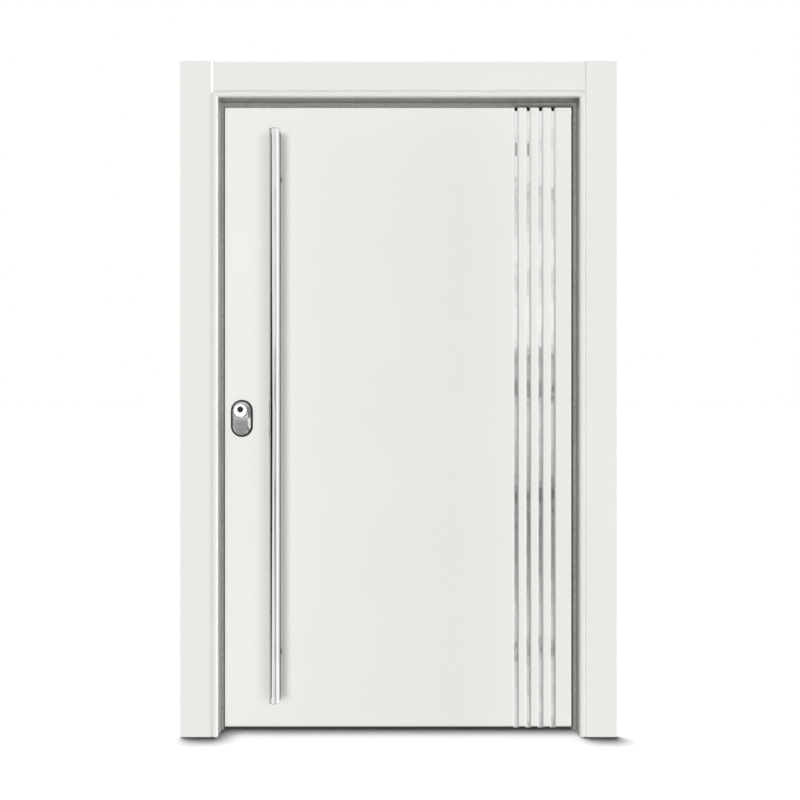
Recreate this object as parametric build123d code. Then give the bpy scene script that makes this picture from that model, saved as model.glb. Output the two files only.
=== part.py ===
from build123d import *
import math
import os

# Pivot entrance door: one wide leaf that turns on a floor pivot and a head pivot,
# in a folded steel frame with white casings outside and inside the wall.
# Millimetres. X runs across the doorway, +Y into the building and +Z up. The origin
# is on the floor, midway between the jambs, in the middle of the closed leaf.

# Doorway
HALF_OPENING = 600.0
OPENING_TOP = 2120.0
OUTER_WALL_Y = -109.0
INNER_WALL_Y = 113.0

# Folded steel frame
SHEET = 2.0
FLANGE = 40.0
RETURN_LIP = 12.0
FRAME_BACK_Y = 60.0
BEND_RADIUS = 3.0
ANCHOR_RADIUS = 5.5
ANCHOR_CENTRE_Z = 1050.0
ANCHOR_SPACINGS = (600.0, 1600.0)

# Stops, cover bars and gaskets: the stops stand in front of the long part of the
# leaf and behind its short part, because the two swing opposite ways.
STOP_GAP = 5.0
STOP_DEPTH = 8.0
JAMB_STOP = 8.0
HEAD_STOP = 13.2
COVER_BAR_JAMB = 10.0
COVER_BAR_HEAD = 6.5
GASKET_GAP = 1.0
GASKET_LIP = 2.5
LIP_ROUND = 2.0
LIP_SETBACK = 2.0

# Casings and linings
CASING_EDGE_X = 724.0
CASING_TOP = 2238.0
CASING_THICK = 16.0
BEAD_WIDTH = 15.2
BEAD_PROUD = 2.0
BEAD_INNER_ROUND = 6.0
BEAD_OUTER_ROUND = 2.5
GROOVE_WIDTH = 6.0
GROOVE_DEPTH = 7.0
INNER_SETBACK = 6.0
EDGE_ROUND = 3.0

# Leaf
PIVOT_X = 433.0
LEAF_HALF = 35.0
LEAF_LEFT = -594.0
LEAF_RIGHT = 585.3
LEAF_BOTTOM = 9.0
LEAF_TOP = 2108.0
OUTER_PANEL = 10.0
INNER_PANEL = 8.0
CORE_SHEET = 1.5
PANEL_BEVEL = 1.0
PANEL_ROUND = 6.0

# Inlaid metal strips
STRIP_WIDTH = 18.0
STRIP_DEPTH = 5.0
STRIP_CROWN = 1.0
STRIP_BEVEL = 1.2
STRIP_FIRST_X = 398.6
STRIP_PITCH = 41.7
STRIP_COUNT = 4
STRIP_BOTTOM = 4.5
STRIP_TOP = 2096.0

# Pull bar
BAR_X = -413.0
BAR_Y = -100.0
BAR_RADIUS = 20.0
BAR_WALL = 2.0
CAP_THICK = 2.0
CAP_BEVEL = 1.0
PLUG_LENGTH = 12.0
BAR_BOTTOM = 106.0
BAR_TOP = 2019.0
POST_SPACING = 1600.0
POST_RADIUS = 9.0
POST_ROSE_RADIUS = 17.0
POST_ROSE_THICK = 6.0
POST_ROSE_BEVEL = 1.5

# Lock
PLATE_X = -532.0
PLATE_Z = 1053.0
PLATE_WIDTH = 74.0
PLATE_HEIGHT = 126.0
BASE_THICK = 5.0
COVER_RIM = 6.5
COVER_THICK = 4.5
BASE_BEVEL = 2.0
COVER_BEVEL = 2.0
COVER_SLOPE_WIDTH = 9.0
GUARD_X = -535.5
GUARD_Z = 1080.0
GUARD_RADIUS = 25.0
GUARD_THICK = 7.0
GUARD_BEVEL = 2.5
PORT_RISE = 3.5
PORT_RADIUS = 10.0
PORT_DEPTH = 5.0
KEY_SLOT = (2.4, 3.0, 10.0)
EDGE_PLATE_WIDTH = 26.0
EDGE_PLATE_THICK = 3.0
LOCK_CASE_PLATE = (PLATE_Z, 240.0)
OUTER_PLATES = ((450.0, 90.0), (1650.0, 90.0))
LATCH_RISE = 70.0
LATCH_SIZE = (12.0, 36.0)
DEADBOLT_DROP = 35.0
DEADBOLT_SIZE = (14.0, 60.0)
NOSE_CLEARANCE = 2.0
BOLT_RADIUS = 9.0
BOLT_LENGTH = 26.0
STRIKE_MARGIN = 4.0

# Lever and thumb turn on the inner face
ROSE_SIZE = 52.0
ROSE_THICK = 8.0
LEVER_DROP = 91.0
LEVER_RADIUS = 9.5
LEVER_REACH = 52.0
LEVER_LENGTH = 128.0
END_BEVEL = 1.2
TURN_STEM_RADIUS = 8.0
TURN_STEM_LENGTH = 12.0
TURN_WING = (36.0, 10.0, 16.0)

# Pivots
PIN_RADIUS = 10.0
PIN_CLEARANCE = 0.05
PIN_LENGTH = 32.0
SHOE = (100.0, 34.0, 44.0)
PIVOT_PLATE_LENGTH = 120.0
COLLAR_RADIUS = 15.0
FLOOR_STRIP_THICK = 3.0
FLOOR_STRIP_FRONT = -15.0
FLOOR_STRIP_BACK = 25.0
HEAD_PLATE_THICK = 2.5
SEAL_CHANNEL = 12.0

EDGE_PLATES = (LOCK_CASE_PLATE, *OUTER_PLATES)
LEAF_RADIUS = math.hypot(LEAF_RIGHT - PIVOT_X, LEAF_HALF)
CORE_FRONT = -LEAF_HALF + OUTER_PANEL
CORE_BACK = LEAF_HALF - INNER_PANEL
CASING_FRONT = OUTER_WALL_Y - CASING_THICK
PORT_Z = GUARD_Z + PORT_RISE
COVER_BACK = -LEAF_HALF - BASE_THICK
COVER_FRONT = COVER_BACK - COVER_THICK
GUARD_FRONT = COVER_FRONT - GUARD_THICK
STOP_FRONT = -LEAF_HALF - STOP_GAP - STOP_DEPTH
STOP_BACK = -LEAF_HALF - STOP_GAP
STOP_END_X = PIVOT_X - LEAF_HALF - 2 * STOP_GAP
INNER_STOP_START_X = PIVOT_X + LEAF_HALF + 2 * STOP_GAP
BEAD_EDGE_X = HALF_OPENING + BEAD_WIDTH
BEAD_TOP = OPENING_TOP + BEAD_WIDTH

MITRE = Plane(origin=(HALF_OPENING, 0, OPENING_TOP), z_dir=(-1, 0, 1))
# Local X points away from the opening and local Y into the building.
JAMB_SECTION = Plane(origin=(HALF_OPENING, 0, 0), x_dir=(1, 0, 0), z_dir=(0, 0, 1))
HEAD_SECTION = Plane(origin=(CASING_EDGE_X, 0, OPENING_TOP), x_dir=(0, 0, 1), z_dir=(-1, 0, 0))


def block(x, y, z):
    """A box between the low and the high value on each axis."""
    centre = [(low + high) / 2 for low, high in (x, y, z)]
    size = [high - low for low, high in (x, y, z)]
    return Pos(*centre) * Box(*size)


def rod_y(radius, x, z, y_from, y_to):
    """A round bar along Y."""
    plane = Plane(origin=(x, y_from, z), x_dir=(1, 0, 0), z_dir=(0, 1, 0))
    return extrude(plane * Circle(radius), y_to - y_from)


def rod_x(radius, y, z, x_from, x_to):
    """A round bar along X."""
    plane = Plane(origin=(x_from, y, z), x_dir=(0, 1, 0), z_dir=(1, 0, 0))
    return extrude(plane * Circle(radius), x_to - x_from)


def rod_z(radius, x, y, z_from, z_to):
    """A round bar along Z."""
    return extrude(Plane(origin=(x, y, z_from)) * Circle(radius), z_to - z_from)


def left_of(right_hand):
    """The mirror image on the other side of the doorway."""
    return mirror(right_hand, about=Plane.YZ)


def rounded(profile, corners):
    """A profile with some corners rounded, given as ((x, y), radius)."""
    for (x, y), radius in corners:
        corner = profile.vertices().sort_by_distance((x, y, 0))[0]
        profile = fillet(corner, radius)
    return profile


def outline(*points):
    """A flat face inside straight lines through the points."""
    return make_face(Polyline(*points, close=True))


def folded_section():
    """Sheet folded round the wall's edge: reveal, two flanges and two returned lips."""
    near = OUTER_WALL_Y + SHEET / 2
    far = FRAME_BACK_Y - SHEET / 2
    edge = FLANGE - SHEET / 2
    fold = FilletPolyline(
        (edge, OUTER_WALL_Y + RETURN_LIP),
        (edge, near),
        (SHEET / 2, near),
        (SHEET / 2, far),
        (edge, far),
        (edge, FRAME_BACK_Y - RETURN_LIP),
        radius=BEND_RADIUS - SHEET / 2,
    )
    return trace(fold, line_width=SHEET)


def jamb():
    """The right-hand jamb, mitred at the head, with its wall anchor holes."""
    post = extrude(JAMB_SECTION * folded_section(), OPENING_TOP + FLANGE)
    post = split(post, bisect_by=MITRE, keep=Keep.BOTTOM)
    for spacing in ANCHOR_SPACINGS:
        for side in (-1, 1):
            z = ANCHOR_CENTRE_Z + side * spacing / 2
            post -= rod_x(ANCHOR_RADIUS, 0, z, HALF_OPENING - SHEET, HALF_OPENING + 2 * SHEET)
    return post


def edge_plate(z, height, margin, x_from, x_to):
    """An upright plate let into the lock edge or the lock jamb."""
    half_y = EDGE_PLATE_WIDTH / 2 + margin
    half_z = height / 2 + margin
    return block((x_from, x_to), (-half_y, half_y), (z - half_z, z + half_z))


def lock_noses(x_from, x_to, margin):
    """Latch, deadbolt and the two round bolts, or with a margin the holes that take them."""
    noses = []
    for rise, (width, height) in ((LATCH_RISE, LATCH_SIZE), (-DEADBOLT_DROP, DEADBOLT_SIZE)):
        half_y = width / 2 + margin
        half_z = height / 2 + margin
        z = PLATE_Z + rise
        noses.append(block((x_from, x_to), (-half_y, half_y), (z - half_z, z + half_z)))
    for z, _ in OUTER_PLATES:
        noses.append(rod_x(BOLT_RADIUS + margin, 0, z, x_from, x_to))
    return Compound(noses)


def frame_jamb_lock():
    post = left_of(jamb())
    for z, height in EDGE_PLATES:
        post -= edge_plate(z, height, STRIKE_MARGIN, -HALF_OPENING - 2 * SHEET, -HALF_OPENING + SHEET)
    return post


def frame_jamb_pivot():
    return jamb()


def frame_head():
    bar = extrude(HEAD_SECTION * folded_section(), 2 * CASING_EDGE_X)
    bar = split(bar, bisect_by=MITRE, keep=Keep.TOP)
    other = Plane(origin=(-HALF_OPENING, 0, OPENING_TOP), z_dir=(1, 0, 1))
    return split(bar, bisect_by=other, keep=Keep.TOP)


def strike_plates():
    """Three strikes, flush with the lock jamb, with a hole for each nose."""
    holes = lock_noses(-HALF_OPENING - 2 * SHEET, -HALF_OPENING + SHEET, NOSE_CLEARANCE)
    plates = []
    for z, height in EDGE_PLATES:
        plate = edge_plate(z, height, STRIKE_MARGIN, -HALF_OPENING - EDGE_PLATE_THICK, -HALF_OPENING)
        plates.append(plate - holes)
    return Compound(plates)


def stop_lock():
    height = (0, OPENING_TOP - HEAD_STOP)
    return block((-HALF_OPENING, -HALF_OPENING + JAMB_STOP), (STOP_FRONT, STOP_BACK), height)


def stop_head():
    return block((-HALF_OPENING, STOP_END_X), (STOP_FRONT, STOP_BACK), (OPENING_TOP - HEAD_STOP, OPENING_TOP))


def cover_bar_pivot():
    foot_of_head_bar = OPENING_TOP - COVER_BAR_HEAD
    return block((HALF_OPENING - COVER_BAR_JAMB, HALF_OPENING), (STOP_FRONT, STOP_BACK), (0, foot_of_head_bar))


def cover_bar_head():
    height = (OPENING_TOP - COVER_BAR_HEAD, OPENING_TOP)
    return block((STOP_END_X, HALF_OPENING), (STOP_FRONT, STOP_BACK), height)


def inner_stop_pivot():
    height = (0, OPENING_TOP - HEAD_STOP)
    return block((HALF_OPENING - JAMB_STOP, HALF_OPENING), (-STOP_BACK, -STOP_FRONT), height)


def inner_stop_head():
    height = (OPENING_TOP - HEAD_STOP, OPENING_TOP)
    return block((INNER_STOP_START_X, HALF_OPENING), (-STOP_BACK, -STOP_FRONT), height)


def outer_gasket():
    """Black seal on the stops: a lip beside the lock stop and a strip behind the head stop."""
    seal_face = -LEAF_HALF - GASKET_GAP
    stop_edge = -HALF_OPENING + JAMB_STOP
    lip_edge = stop_edge + GASKET_LIP
    lip_front = STOP_FRONT + LIP_SETBACK
    section = outline(
        (-HALF_OPENING, STOP_BACK),
        (stop_edge, STOP_BACK),
        (stop_edge, lip_front),
        (lip_edge, lip_front),
        (lip_edge, seal_face),
        (-HALF_OPENING, seal_face),
    )
    section = rounded(section, (((lip_edge, lip_front), LIP_ROUND),))
    side = extrude(section, OPENING_TOP - HEAD_STOP)
    head = block(
        (stop_edge, STOP_END_X), (STOP_BACK, seal_face), (OPENING_TOP - HEAD_STOP, OPENING_TOP - JAMB_STOP)
    )
    return Compound([side, head])


def inner_gasket():
    """Black seal on the stops behind the short part of the leaf."""
    seal_face = LEAF_HALF + GASKET_GAP
    edge = HALF_OPENING - JAMB_STOP
    head_foot = OPENING_TOP - HEAD_STOP
    side = block((edge, HALF_OPENING), (seal_face, -STOP_BACK), (0, head_foot))
    head = block((INNER_STOP_START_X, edge), (seal_face, -STOP_BACK), (head_foot, OPENING_TOP - JAMB_STOP))
    return Compound([side, head])


def outer_casing_side():
    """Right-hand outer casing board; the slope along its inner edge makes the groove at the bead."""
    section = outline(
        (BEAD_EDGE_X, OUTER_WALL_Y),
        (CASING_EDGE_X, OUTER_WALL_Y),
        (CASING_EDGE_X, CASING_FRONT),
        (BEAD_EDGE_X + GROOVE_WIDTH, CASING_FRONT),
        (BEAD_EDGE_X, CASING_FRONT + GROOVE_DEPTH),
    )
    return extrude(rounded(section, (((CASING_EDGE_X, CASING_FRONT), EDGE_ROUND),)), CASING_TOP)


def outer_casing_head():
    """Head board, held between the side boards, with the same groove along its lower edge."""
    low = BEAD_TOP - OPENING_TOP
    high = CASING_TOP - OPENING_TOP
    section = outline(
        (low, OUTER_WALL_Y),
        (high, OUTER_WALL_Y),
        (high, CASING_FRONT),
        (low + GROOVE_WIDTH, CASING_FRONT),
        (low, CASING_FRONT + GROOVE_DEPTH),
    )
    section = rounded(section, (((high, CASING_FRONT), EDGE_ROUND),))
    start = Plane(origin=(BEAD_EDGE_X, 0, OPENING_TOP), x_dir=(0, 0, 1), z_dir=(-1, 0, 0))
    return extrude(start * section, 2 * BEAD_EDGE_X)


def bead_section():
    """Rounded bead that frames the opening."""
    front = CASING_FRONT - BEAD_PROUD
    section = outline((0, OUTER_WALL_Y), (BEAD_WIDTH, OUTER_WALL_Y), (BEAD_WIDTH, front), (0, front))
    return rounded(section, (((0, front), BEAD_INNER_ROUND), ((BEAD_WIDTH, front), BEAD_OUTER_ROUND)))


def bead_side():
    strip = extrude(JAMB_SECTION * bead_section(), BEAD_TOP)
    return split(strip, bisect_by=MITRE, keep=Keep.BOTTOM)


def bead_head():
    strip = extrude(HEAD_SECTION * bead_section(), 2 * CASING_EDGE_X)
    strip = split(strip, bisect_by=MITRE, keep=Keep.TOP)
    other = Plane(origin=(-HALF_OPENING, 0, OPENING_TOP), z_dir=(1, 0, 1))
    return split(strip, bisect_by=other, keep=Keep.TOP)


def inner_lining_side():
    return block((HALF_OPENING, HALF_OPENING + CASING_THICK), (FRAME_BACK_Y, INNER_WALL_Y), (0, OPENING_TOP))


def inner_lining_head():
    reach = HALF_OPENING + CASING_THICK
    return block((-reach, reach), (FRAME_BACK_Y, INNER_WALL_Y), (OPENING_TOP, OPENING_TOP + CASING_THICK))


def inner_board(low, high):
    """Section of an inner casing board with both front edges rounded."""
    face = INNER_WALL_Y + CASING_THICK
    section = outline((low, INNER_WALL_Y), (high, INNER_WALL_Y), (high, face), (low, face))
    return rounded(section, (((low, face), EDGE_ROUND), ((high, face), EDGE_ROUND)))


def inner_casing_side():
    return extrude(inner_board(HALF_OPENING + INNER_SETBACK, CASING_EDGE_X), CASING_TOP)


def inner_casing_head():
    reach = HALF_OPENING + INNER_SETBACK
    start = Plane(origin=(reach, 0, OPENING_TOP), x_dir=(0, 0, 1), z_dir=(-1, 0, 0))
    return extrude(start * inner_board(INNER_SETBACK, CASING_TOP - OPENING_TOP), 2 * reach)


def leaf_outline(y_from, y_to, inset=0.0):
    """Plan of a layer of the leaf: straight lock edge, and a pivot edge curved about the pivot."""
    radius = LEAF_RADIUS - inset
    corner_x = [PIVOT_X + math.sqrt(radius**2 - y**2) for y in (y_from, y_to)]
    middle = (y_from + y_to) / 2
    bulge = (PIVOT_X + math.sqrt(radius**2 - middle**2), middle)
    left = LEAF_LEFT + inset
    edges = [
        Line((left, y_from), (corner_x[0], y_from)),
        ThreePointArc((corner_x[0], y_from), bulge, (corner_x[1], y_to)),
        Line((corner_x[1], y_to), (left, y_to)),
        Line((left, y_to), (left, y_from)),
    ]
    return make_face(edges)


def leaf_slab(y_from, y_to, z_from, z_to, inset=0.0):
    """A layer of the leaf between two heights."""
    return extrude(Pos(0, 0, z_from) * leaf_outline(y_from, y_to, inset), z_to - z_from)


def shoe_box(z_from, z_to, margin=0.0):
    """The space of a pivot shoe at the leaf's foot or head."""
    half_x = SHOE[0] / 2 + margin
    half_y = SHOE[1] / 2 + margin
    return block((PIVOT_X - half_x, PIVOT_X + half_x), (-half_y, half_y), (z_from, z_to))


def seal_channel(wall):
    """The channel under the leaf for the drop seal, on the lock side of the pivot."""
    half = SEAL_CHANNEL / 2 + wall
    left = LEAF_LEFT + 2 * SEAL_CHANNEL
    right = PIVOT_X - SHOE[0] + wall
    return block((left, right), (-half, half), (LEAF_BOTTOM, LEAF_BOTTOM + SEAL_CHANNEL + wall))


def leaf_core():
    """Closed steel shell with solid blocks round the pivots and behind the lock plates."""
    void = leaf_slab(
        CORE_FRONT + CORE_SHEET,
        CORE_BACK - CORE_SHEET,
        LEAF_BOTTOM + CORE_SHEET,
        LEAF_TOP - CORE_SHEET,
        inset=CORE_SHEET,
    )
    wall = 3 * CORE_SHEET
    void -= shoe_box(LEAF_BOTTOM, LEAF_BOTTOM + SHOE[2] + wall, wall)
    void -= shoe_box(LEAF_TOP - SHOE[2] - wall, LEAF_TOP, wall)
    void -= seal_channel(CORE_SHEET)
    half_plate = EDGE_PLATE_WIDTH / 2 + wall
    for z, height in EDGE_PLATES:
        reach = height / 2 + wall
        void -= block(
            (LEAF_LEFT, LEAF_LEFT + BOLT_LENGTH + wall), (-half_plate, half_plate), (z - reach, z + reach)
        )
    core = leaf_slab(CORE_FRONT, CORE_BACK, LEAF_BOTTOM, LEAF_TOP) - void
    core -= shoe_box(LEAF_BOTTOM, LEAF_BOTTOM + SHOE[2])
    core -= shoe_box(LEAF_TOP - SHOE[2], LEAF_TOP)
    core -= seal_channel(0.0)
    for z, height in EDGE_PLATES:
        core -= edge_plate(z, height, 0.0, LEAF_LEFT, LEAF_LEFT + EDGE_PLATE_THICK)
    return core - lock_bolts()


def lock_bolts():
    """Latch, deadbolt and round bolts, drawn back level with the lock edge."""
    return lock_noses(LEAF_LEFT, LEAF_LEFT + BOLT_LENGTH, 0.0)


def lock_faceplates():
    plates = []
    for z, height in EDGE_PLATES:
        plates.append(edge_plate(z, height, 0.0, LEAF_LEFT, LEAF_LEFT + EDGE_PLATE_THICK) - lock_bolts())
    return Compound(plates)


def strip_positions():
    return [STRIP_FIRST_X + STRIP_PITCH * step for step in range(STRIP_COUNT)]


def outer_panel():
    """White outer panel with rounded upright edges and a bevelled groove for each metal strip."""
    plan = leaf_outline(-LEAF_HALF, CORE_FRONT)
    corners = (((LEAF_LEFT, -LEAF_HALF), PANEL_ROUND), ((LEAF_RIGHT, -LEAF_HALF), PANEL_ROUND))
    panel = extrude(Pos(0, 0, LEAF_BOTTOM) * rounded(plan, corners), LEAF_TOP - LEAF_BOTTOM)
    half = STRIP_WIDTH / 2
    for x in strip_positions():
        groove = outline(
            (x - half - STRIP_BEVEL, -LEAF_HALF),
            (x + half + STRIP_BEVEL, -LEAF_HALF),
            (x + half, -LEAF_HALF + STRIP_BEVEL),
            (x + half, -LEAF_HALF + STRIP_DEPTH),
            (x - half, -LEAF_HALF + STRIP_DEPTH),
            (x - half, -LEAF_HALF + STRIP_BEVEL),
        )
        panel -= extrude(groove, OPENING_TOP)
    return panel


def inner_panel():
    panel = leaf_slab(CORE_BACK, LEAF_HALF, LEAF_BOTTOM, LEAF_TOP)
    return chamfer(panel.faces().sort_by(Axis.Y)[-1].edges(), PANEL_BEVEL)


def inlay_strip(x):
    """A polished strip with a slightly crowned face."""
    half = STRIP_WIDTH / 2
    edges = [
        Line((x + half, -LEAF_HALF), (x + half, -LEAF_HALF + STRIP_DEPTH)),
        Line((x + half, -LEAF_HALF + STRIP_DEPTH), (x - half, -LEAF_HALF + STRIP_DEPTH)),
        Line((x - half, -LEAF_HALF + STRIP_DEPTH), (x - half, -LEAF_HALF)),
        ThreePointArc((x - half, -LEAF_HALF), (x, -LEAF_HALF - STRIP_CROWN), (x + half, -LEAF_HALF)),
    ]
    return extrude(Pos(0, 0, STRIP_BOTTOM) * make_face(edges), STRIP_TOP - STRIP_BOTTOM)


def pull_bar():
    """Full-height round tube."""
    tube = rod_z(BAR_RADIUS, BAR_X, BAR_Y, BAR_BOTTOM + CAP_THICK, BAR_TOP - CAP_THICK)
    return tube - rod_z(BAR_RADIUS - BAR_WALL, BAR_X, BAR_Y, BAR_BOTTOM, BAR_TOP)


def bar_end_caps():
    """Flat caps with a bevelled rim and a plug inside the tube."""
    caps = []
    for end, inward in ((BAR_BOTTOM, 1), (BAR_TOP, -1)):
        seat = end + CAP_THICK * inward
        low, high = sorted((end, seat))
        disc = rod_z(BAR_RADIUS, BAR_X, BAR_Y, low, high)
        rim = disc.edges().filter_by(GeomType.CIRCLE).sort_by(Axis.Z)[0 if inward > 0 else -1]
        disc = chamfer(rim, CAP_BEVEL)
        low, high = sorted((seat, seat + PLUG_LENGTH * inward))
        caps.append(disc + rod_z(BAR_RADIUS - BAR_WALL, BAR_X, BAR_Y, low, high))
    return Compound(caps)


def bar_posts():
    """Stand-offs that carry the bar, each with a round foot on the leaf."""
    middle = (BAR_BOTTOM + BAR_TOP) / 2
    bar = rod_z(BAR_RADIUS, BAR_X, BAR_Y, BAR_BOTTOM, BAR_TOP)
    posts = []
    for side in (-1, 1):
        z = middle + side * POST_SPACING / 2
        foot = rod_y(POST_ROSE_RADIUS, BAR_X, z, -LEAF_HALF - POST_ROSE_THICK, -LEAF_HALF)
        front = foot.edges().filter_by(GeomType.CIRCLE).sort_by(Axis.Y)[0]
        foot = chamfer(front, POST_ROSE_BEVEL)
        stem = rod_y(POST_RADIUS, BAR_X, z, BAR_Y, -LEAF_HALF - POST_ROSE_THICK)
        posts.append(foot + (stem - bar))
    return Compound(posts)


def round_ended_plate(width, height, y_from, y_to, bevel_depth, bevel_width):
    """An upright round-ended plate on the lock's line, its front edge sloped back all round."""
    plane = Plane(origin=(PLATE_X, y_from, PLATE_Z), x_dir=(1, 0, 0), z_dir=(0, -1, 0))
    plate = extrude(plane * SlotOverall(height, width, rotation=90), y_from - y_to)
    front = plate.faces().sort_by(Axis.Y)[0]
    plate = chamfer(front.edges(), bevel_width, bevel_depth, reference=front)
    return plate - rod_y(PORT_RADIUS, GUARD_X, PORT_Z, y_to, y_from)


def escutcheon_base():
    """Black base plate; its rim shows all round the cover."""
    return round_ended_plate(PLATE_WIDTH, PLATE_HEIGHT, -LEAF_HALF, COVER_BACK, BASE_BEVEL, BASE_BEVEL)


def outer_escutcheon():
    """Metal cover on the base plate, sloped towards its edge and bored for the cylinder."""
    width = PLATE_WIDTH - 2 * COVER_RIM
    height = PLATE_HEIGHT - 2 * COVER_RIM
    return round_ended_plate(width, height, COVER_BACK, COVER_FRONT, COVER_BEVEL, COVER_SLOPE_WIDTH)


def cylinder_guard():
    """Raised disc round the key port, which sits a little above its middle."""
    disc = rod_y(GUARD_RADIUS, GUARD_X, GUARD_Z, GUARD_FRONT, COVER_FRONT)
    disc = chamfer(disc.faces().sort_by(Axis.Y)[0].edges(), GUARD_BEVEL)
    return disc - rod_y(PORT_RADIUS, GUARD_X, PORT_Z, GUARD_FRONT, COVER_FRONT)


def lock_cylinder():
    """Cylinder end set back in the port, with a key slot."""
    face = GUARD_FRONT + PORT_DEPTH
    barrel = rod_y(PORT_RADIUS, GUARD_X, PORT_Z, face, -LEAF_HALF)
    width, depth, height = KEY_SLOT
    slot_x = (GUARD_X - width / 2, GUARD_X + width / 2)
    slot_z = (PORT_Z - height / 2, PORT_Z + height / 2)
    return barrel - block(slot_x, (face, face + depth), slot_z)


def rose(z):
    """Square rose on the inner face."""
    half = ROSE_SIZE / 2
    plate = block((PLATE_X - half, PLATE_X + half), (LEAF_HALF, LEAF_HALF + ROSE_THICK), (z - half, z + half))
    return chamfer(plate.faces().sort_by(Axis.Y)[-1].edges(), END_BEVEL)


def lever_handle():
    """Round bar lever: a neck and a grip that meet in a mitre, with a bevelled end."""
    base = LEAF_HALF + ROSE_THICK
    corner_y = base + LEVER_REACH
    z = PORT_Z - LEVER_DROP
    end_x = PLATE_X + LEVER_LENGTH
    mitre = Plane(origin=(PLATE_X, corner_y, z), z_dir=(1, 1, 0))
    neck = rod_y(LEVER_RADIUS, PLATE_X, z, base, corner_y + 2 * LEVER_RADIUS)
    neck = split(neck, bisect_by=mitre, keep=Keep.BOTTOM)
    grip = rod_x(LEVER_RADIUS, corner_y, z, PLATE_X - 2 * LEVER_RADIUS, end_x)
    grip = split(grip, bisect_by=mitre, keep=Keep.TOP)
    lever = neck + grip
    return chamfer(lever.faces().sort_by(Axis.X)[-1].edges(), END_BEVEL)


def thumb_turn():
    """Stem with an upright bevelled wing."""
    base = LEAF_HALF + ROSE_THICK
    stem_end = base + TURN_STEM_LENGTH
    stem = rod_y(TURN_STEM_RADIUS, PLATE_X, PORT_Z, base, stem_end)
    height, width, depth = TURN_WING
    wing = block(
        (PLATE_X - width / 2, PLATE_X + width / 2),
        (stem_end, stem_end + depth),
        (PORT_Z - height / 2, PORT_Z + height / 2),
    )
    wing = chamfer(wing.faces().sort_by(Axis.Y)[-1].edges(), 2 * END_BEVEL)
    return stem + wing


def drop_seal():
    """Aluminium seal housing under the leaf, drawn up level with the leaf's foot."""
    return seal_channel(0.0)


def pivot_shoes():
    """Blocks let into the leaf's foot and head, bored for the pins."""
    hole = PIN_RADIUS + PIN_CLEARANCE
    foot = shoe_box(LEAF_BOTTOM, LEAF_BOTTOM + SHOE[2])
    foot -= rod_z(hole, PIVOT_X, 0, LEAF_BOTTOM, LEAF_BOTTOM + PIN_LENGTH + 1)
    head = shoe_box(LEAF_TOP - SHOE[2], LEAF_TOP)
    head -= rod_z(hole, PIVOT_X, 0, LEAF_TOP - PIN_LENGTH - 1, LEAF_TOP)
    return Compound([foot, head])


def floor_strip():
    """Flat strip on the floor each side of the floor pivot."""
    half = PIVOT_PLATE_LENGTH / 2
    depth = (FLOOR_STRIP_FRONT, FLOOR_STRIP_BACK)
    long_run = block((-HALF_OPENING, PIVOT_X - half), depth, (0, FLOOR_STRIP_THICK))
    short_run = block((PIVOT_X + half, HALF_OPENING), depth, (0, FLOOR_STRIP_THICK))
    return Compound([long_run, short_run])


def floor_pivot():
    """Floor plate with a collar that carries the leaf and a pin inside its shoe."""
    half = PIVOT_PLATE_LENGTH / 2
    plate = block(
        (PIVOT_X - half, PIVOT_X + half), (FLOOR_STRIP_FRONT, FLOOR_STRIP_BACK), (0, FLOOR_STRIP_THICK)
    )
    collar = rod_z(COLLAR_RADIUS, PIVOT_X, 0, FLOOR_STRIP_THICK, LEAF_BOTTOM - PIN_CLEARANCE)
    pin = rod_z(PIN_RADIUS, PIVOT_X, 0, FLOOR_STRIP_THICK, LEAF_BOTTOM + PIN_LENGTH)
    return plate + collar + pin


def head_pivot():
    """Plate under the frame head with a pin that reaches down into the leaf."""
    half = PIVOT_PLATE_LENGTH / 2
    low = OPENING_TOP - HEAD_PLATE_THICK
    plate = block(
        (PIVOT_X - half, PIVOT_X + half), (FLOOR_STRIP_FRONT, -FLOOR_STRIP_FRONT), (low, OPENING_TOP)
    )
    return plate + rod_z(PIN_RADIUS, PIVOT_X, 0, LEAF_TOP - PIN_LENGTH, low)


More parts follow.
